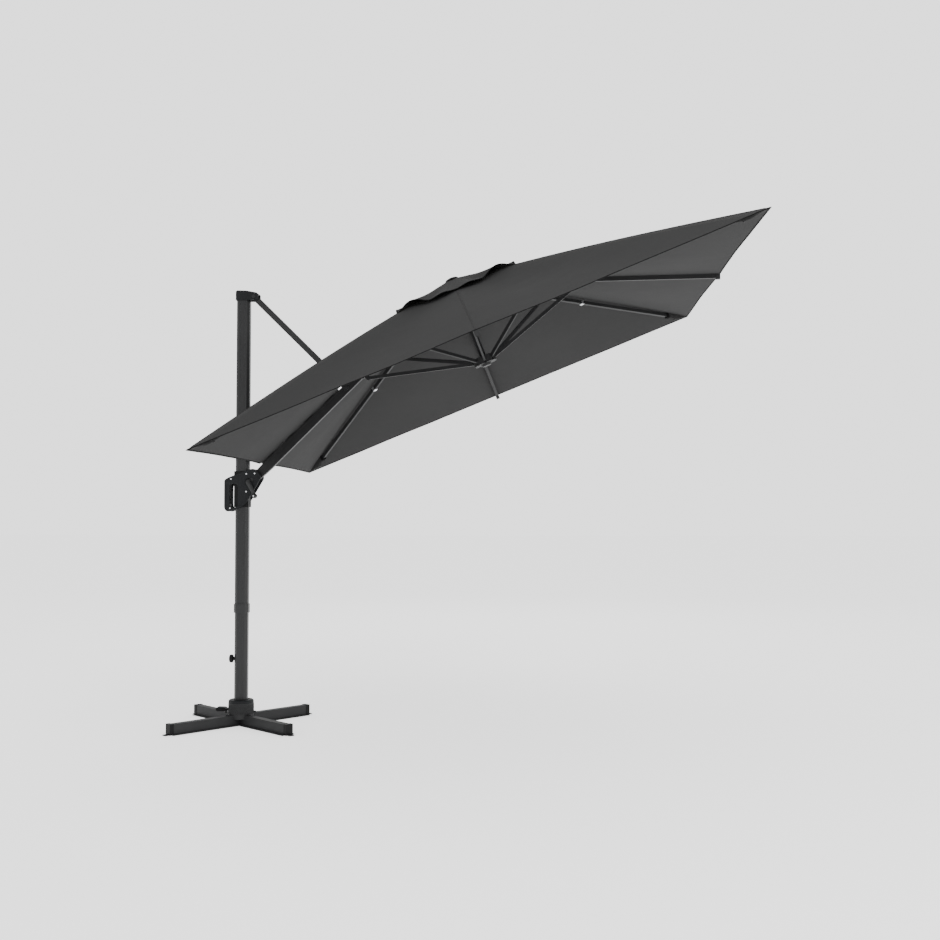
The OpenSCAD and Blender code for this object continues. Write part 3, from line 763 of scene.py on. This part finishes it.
def extruded(name, loops, y_low, y_high, bevel):
    """A plate in the X-Z plane with rounded edges; each loop after the first is a hole."""
    curve = bpy.data.curves.new(name, "CURVE")
    curve.dimensions = "2D"
    curve.fill_mode = "BOTH"
    curve.extrude = (y_high - y_low) / 2 - bevel
    curve.bevel_depth = bevel
    curve.bevel_resolution = 3
    curve.offset = -bevel
    for loop in loops:
        spline = curve.splines.new("POLY")
        spline.points.add(len(loop) - 1)
        spline.use_cyclic_u = True
        for point, p in zip(spline.points, loop):
            point.co = (p[0], p[1], 0, 1)
    holder = bpy.data.objects.new(name, curve)
    bpy.context.scene.collection.objects.link(holder)
    bpy.context.view_layer.update()
    mesh = bpy.data.meshes.new_from_object(holder)
    bpy.data.objects.remove(holder)
    turn = Matrix(((1, 0, 0, 0), (0, 0, -1, (y_low + y_high) / 2), (0, 1, 0, 0), (0, 0, 0, 1)))
    mesh.transform(turn)
    b = bmesh.new()
    b.from_mesh(mesh)
    bmesh.ops.remove_doubles(b, verts=b.verts, dist=0.00002)
    bpy.data.meshes.remove(mesh)
    mesh = finished_mesh(name, b)
    shade_smooth(mesh, 40)
    return mesh


pin = Vector(joints["carriage_level"]["pos_m"])
# Corners of a carriage plate and of its hand window, from the mast's axis and from the height of the boom's pivot
PLATE = [
    (-0.099, 0.002), (-0.080, 0.014), (0.035, 0.058), (0.062, 0.066), (0.080, 0.066), (0.097, 0.057),
    (0.119, 0.030), (0.121, 0.008), (0.081, -0.060), (0.035, -0.138), (0.000, -0.167), (-0.049, -0.185),
    (-0.077, -0.193), (-0.094, -0.187), (-0.103, -0.170), (-0.103, -0.006),
]
WINDOW = [(-0.069, -0.024), (-0.020, -0.024), (-0.020, -0.1695), (-0.069, -0.1695)]
# Width of the raised rims, how far they stand proud, and their distance from the plate's edge
RIM = 0.009
RIM_PROUD = 0.0018
RIM_INSET = 0.0035


def at_pin_height(corners):
    """The corners, raised from the boom's pivot to their place on the mast."""
    return [(x, z + pin.z) for x, z in corners]


def carriage_side(side_name):
    """A carriage plate with rounded edges and a hand window, and the raised rim that follows its edge."""
    low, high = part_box("carriage_" + side_name)
    outer = filleted(at_pin_height(PLATE), 0.010)
    window = filleted(at_pin_height(WINDOW), 0.0235, 8)
    mesh = extruded("carriage_shell_" + side_name, [outer, window], low.y, high.y, 0.0035)
    plate = new_object("carriage_shell_" + side_name, mesh, "carriage", "slate_castings")
    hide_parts("carriage_" + side_name)
    span = (low.y - RIM_PROUD, low.y) if side_name == "front" else (high.y, high.y + RIM_PROUD)
    rim_outer = filleted(at_pin_height(inset(PLATE, RIM_INSET)), 0.009)
    rim_inner = filleted(at_pin_height(inset(PLATE, RIM_INSET + RIM)), 0.008)
    rim = extruded("carriage_rim_" + side_name, [rim_outer, rim_inner], span[0], span[1], 0.0008)
    new_object("carriage_rim_" + side_name, rim, "carriage", "slate_castings")


# ---- Crank, hub and clamp knob ----


def turned_piece(name, profile, origin, axis, body, slot, segments=48):
    """A lathed solid as a piece of its own."""
    return new_object(name, lathe(name, profile, origin, axis, segments), body, slot)


def crank_pieces():
    """A cranked arm that leaves the winch's boss, runs down across the plate and ends in a turning knob."""
    pivot = Vector(joints["crank_spin"]["pos_m"])
    knob_low, knob_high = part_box("crank_knob")
    end = (knob_low + knob_high) / 2
    start = Vector((pivot.x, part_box("carriage_front")[0].y, pivot.z))
    out = Vector((0, -1, 0))
    across = Vector((end.x - pivot.x, 0, end.z - pivot.z))
    boss = [(-0.004, 0.016), (0.001, 0.0165), (0.003, 0.0145), (0.009, 0.0135), (0.0115, 0.0115)]
    turned_piece("crank_boss", boss, start + out * 0.0005, out, "crank", "black_plastic")
    # Height over the plate, and share of the way to the knob, of the points that the arm flows through
    course = [(0.004, 0.0), (0.012, 0.03), (0.015, 0.25), (0.013, 0.7), (0.011, 0.93), (0.011, 1.0)]
    path = flowing([start + out * height + across * share for height, share in course], 6)
    radii = [0.0165 - 0.008 * smooth(i / (len(path) - 1), 0.15, 0.85) for i in range(len(path))]
    arm = new_object("crank_arm", tube("crank_arm", path, radii, 0.55), "crank", "grey_frame")
    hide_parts("crank")
    eye = [(0.0, 0.0085), (0.001, 0.0125), (0.003, 0.0140), (0.008, 0.0140), (0.010, 0.0125), (0.011, 0.0085)]
    turned_piece("crank_eye", eye, start + out * 0.006 + across, out, "crank", "grey_frame")
    length = knob_high.y - knob_low.y
    top = Vector((end.x, knob_high.y + 0.004, end.z))
    handle = [(0.0, 0.0075), (0.001, 0.0098), (0.004, 0.0105), (0.010, 0.0100), (0.020, 0.0122),
              (0.030, 0.0132), (length - 0.001, 0.0122), (length + 0.003, 0.0085), (length + 0.004, 0.0050)]
    knob = turned_piece("crank_handle", handle, top, out, "crank", "black_plastic")
    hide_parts("crank_knob")
    rivet = [(0, 0.0045), (0.001, 0.0046), (0.0018, 0.0036), (0.002, 0.0012)]
    turned_piece("crank_rivet", rivet, top + out * (length + 0.0038), out, "crank", "bright_steel", 24)


# Ribs round the base's hub: their lowest and highest ends, their number, the cosine past which none stand,
# and how far they stand proud
KNURL_SPAN = (0.066, 0.124)
KNURL_COUNT = 110
KNURL_GAP = -0.94
KNURL_DEPTH = 0.0011


def hub_knurl():
    """Fine upright ribs round the base's hub, with a gap where the pedal comes out."""
    low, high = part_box("base_hub")
    radius = (high.y - low.y) / 2
    bottom, top = KNURL_SPAN
    b = bmesh.new()
    half = 0.30 * TURN / KNURL_COUNT
    for angle in circle(KNURL_COUNT):
        if math.cos(angle) < KNURL_GAP:
            continue
        ring = []
        for turn, reach in ((-half, 0.0), (-half * 0.4, KNURL_DEPTH), (half * 0.4, KNURL_DEPTH), (half, 0.0)):
            c, d = math.cos(angle + turn), math.sin(angle + turn)
            for z, inward in ((bottom, 0.0), (bottom + 0.001, reach), (top - 0.001, reach), (top, 0.0)):
                r = radius - 0.0002 + min(reach, inward)
                ring.append(b.verts.new((r * c, r * d, z)))
        for i in range(3):
            for j in range(3):
                b.faces.new([ring[i * 4 + j], ring[i * 4 + 4 + j], ring[i * 4 + 5 + j], ring[i * 4 + 1 + j]])
        b.faces.new([ring[0], ring[1], ring[2], ring[3], ring[15], ring[14], ring[13], ring[12]])
        b.faces.new([ring[0], ring[12], ring[8], ring[4]])
        b.faces.new([ring[3], ring[7], ring[11], ring[15]])
    new_object("hub_knurl", finished_mesh("hub_knurl", b), "base", "base_steel")


def clamp_knob_piece():
    """A lobed clamp knob with a domed cap and a ribbed skirt."""
    low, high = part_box("clamp_knob")
    centre = Vector((high.x, 0, (low.z + high.z) / 2))
    radius = (high.z - low.z) / 2
    depth = high.x - low.x
    b = bmesh.new()
    rings = []
    profile = [(0.0, 0.42), (0.008, 0.44), (0.010, 0.52), (0.013, 0.93), (0.016, 1.0),
               (depth - 0.007, 1.0), (depth - 0.003, 0.95), (depth - 0.001, 0.80), (depth, 0.55), (depth, 0.05)]
    for along, share in profile:
        ring = []
        for angle in circle(96):
            lobe = 1 - 0.10 * smooth(share, 0.6, 0.95) * (0.5 - 0.5 * math.cos(8 * angle)) ** 1.5
            r = radius * share * lobe
            ring.append(b.verts.new((centre.x - along, r * math.sin(angle), centre.z + r * math.cos(angle))))
        rings.append(ring)
    close_rings(b, rings)
    mesh = finished_mesh("clamp_knob_lobed", b)
    shade_smooth(mesh, 40)
    knob = new_object("clamp_knob_lobed", mesh, "clamp_knob", "black_plastic")
    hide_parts("clamp_knob")


# ---- Floor, light and camera ----

# The world's strength at its middle, the backdrop's as the camera sees it, and the floor's own glow
WORLD_LIGHT = 1.15
BACKDROP = 2.05
FLOOR_GLOW = 0.95
WHITE = (1.0, 1.0, 1.0, 1)
MIDDLE = (1.0, 0.0, 1.6)
# Name, place, target, size and energy of each lamp
LIGHTS = [
    ("key", (6.0, -7.0, 7.5), MIDDLE, 3.0, 420),
    ("fill", (-6.0, -5.0, 4.0), MIDDLE, 4.0, 50),
    ("rim", (2.0, 8.0, 6.0), MIDDLE, 4.0, 120),
    ("side", (6.5, -3.5, 0.9), (0, 0, 0.9), 1.6, 30),
]
FLOOR_REACH = 60.0


def add_light(name, place, target, size, energy):
    """A square soft lamp that faces its target."""
    data = bpy.data.lights.new(name, "AREA")
    data.shape = "SQUARE"
    data.size = size
    data.energy = energy
    lamp = bpy.data.objects.new(name, data)
    bpy.context.scene.collection.objects.link(lamp)
    lamp.location = place
    lamp.rotation_euler = (Vector(target) - Vector(place)).to_track_quat("-Z", "Y").to_euler()


def studio_world():
    """White light all round, stronger from the canopy's side, in front of a brighter white backdrop."""
    world = bpy.data.worlds.new("studio")
    world.use_nodes = True
    tree = world.node_tree
    lit = tree.nodes["Background"]
    lit.inputs["Color"].default_value = WHITE
    place = tree.nodes.new("ShaderNodeTexCoord")
    split = tree.nodes.new("ShaderNodeSeparateXYZ")
    ramp = tree.nodes.new("ShaderNodeMapRange")
    ramp.inputs["From Min"].default_value = -1.0
    ramp.inputs["From Max"].default_value = 1.0
    ramp.inputs["To Min"].default_value = WORLD_LIGHT * 0.75
    ramp.inputs["To Max"].default_value = WORLD_LIGHT * 1.25
    tree.links.new(place.outputs["Generated"], split.inputs["Vector"])
    tree.links.new(split.outputs["X"], ramp.inputs["Value"])
    tree.links.new(ramp.outputs["Result"], lit.inputs["Strength"])
    seen = tree.nodes.new("ShaderNodeBackground")
    seen.inputs["Color"].default_value = WHITE
    seen.inputs["Strength"].default_value = BACKDROP
    rays = tree.nodes.new("ShaderNodeLightPath")
    mix = tree.nodes.new("ShaderNodeMixShader")
    tree.links.new(rays.outputs["Is Camera Ray"], mix.inputs["Fac"])
    tree.links.new(lit.outputs["Background"], mix.inputs[1])
    tree.links.new(seen.outputs["Background"], mix.inputs[2])
    tree.links.new(mix.outputs["Shader"], tree.nodes["World Output"].inputs["Surface"])
    return world


def studio():
    """The pale floor, the world and the lamps."""
    floor_mesh = bpy.data.meshes.new("floor")
    corners = [(x * FLOOR_REACH, y * FLOOR_REACH, 0) for x, y in ((-1, -1), (1, -1), (1, 1), (-1, 1))]
    floor_mesh.from_pydata(corners, [], [(0, 1, 2, 3)])
    floor = bpy.data.objects.new("floor", floor_mesh)
    bpy.context.scene.collection.objects.link(floor)
    m = Maker("floor_paint")
    clouds = m.noise(0.8, 3.0)
    m.link(m.mix(clouds, (0.90, 0.90, 0.90), (0.93, 0.93, 0.93)), m.shader.inputs["Base Color"])
    m.shader.inputs["Roughness"].default_value = 0.9
    m.shader.inputs["Emission Color"].default_value = WHITE
    m.shader.inputs["Emission Strength"].default_value = FLOOR_GLOW
    floor_mesh.materials.append(m.material)
    floor.location.z = -0.001
    bpy.context.scene.world = studio_world()
    for light in LIGHTS:
        add_light(*light)


# The camera's place, its turn and upward tilt in degrees, and its lens in millimetres
CAMERA_PLACE = (1.7823, -6.8934, 1.2701)
CAMERA_YAW = 3.284
CAMERA_PITCH = 2.198
CAMERA_LENS = 43.9


def photo_camera():
    """The camera, below the canopy's edge and in front of the mast."""
    data = bpy.data.cameras.new("camera")
    data.lens = CAMERA_LENS
    data.sensor_width = 36.0
    data.clip_end = 200.0
    camera = bpy.data.objects.new("camera", data)
    bpy.context.scene.collection.objects.link(camera)
    camera.location = CAMERA_PLACE
    camera.rotation_euler = (math.radians(90 + CAMERA_PITCH), 0, math.radians(CAMERA_YAW))
    bpy.context.scene.camera = camera


# ---- The model ----

for sector in SECTORS:
    canopy_sector(sector)
for side in ("front", "back"):
    carriage_side(side)
hub_knurl()
crank_pieces()
slit_flap()
for corner in ("back_right", "back_left", "front_left", "front_right"):
    corner_pocket(corner)
    rib_peg(corner)
clamp_knob_piece()
studio()
photo_camera()
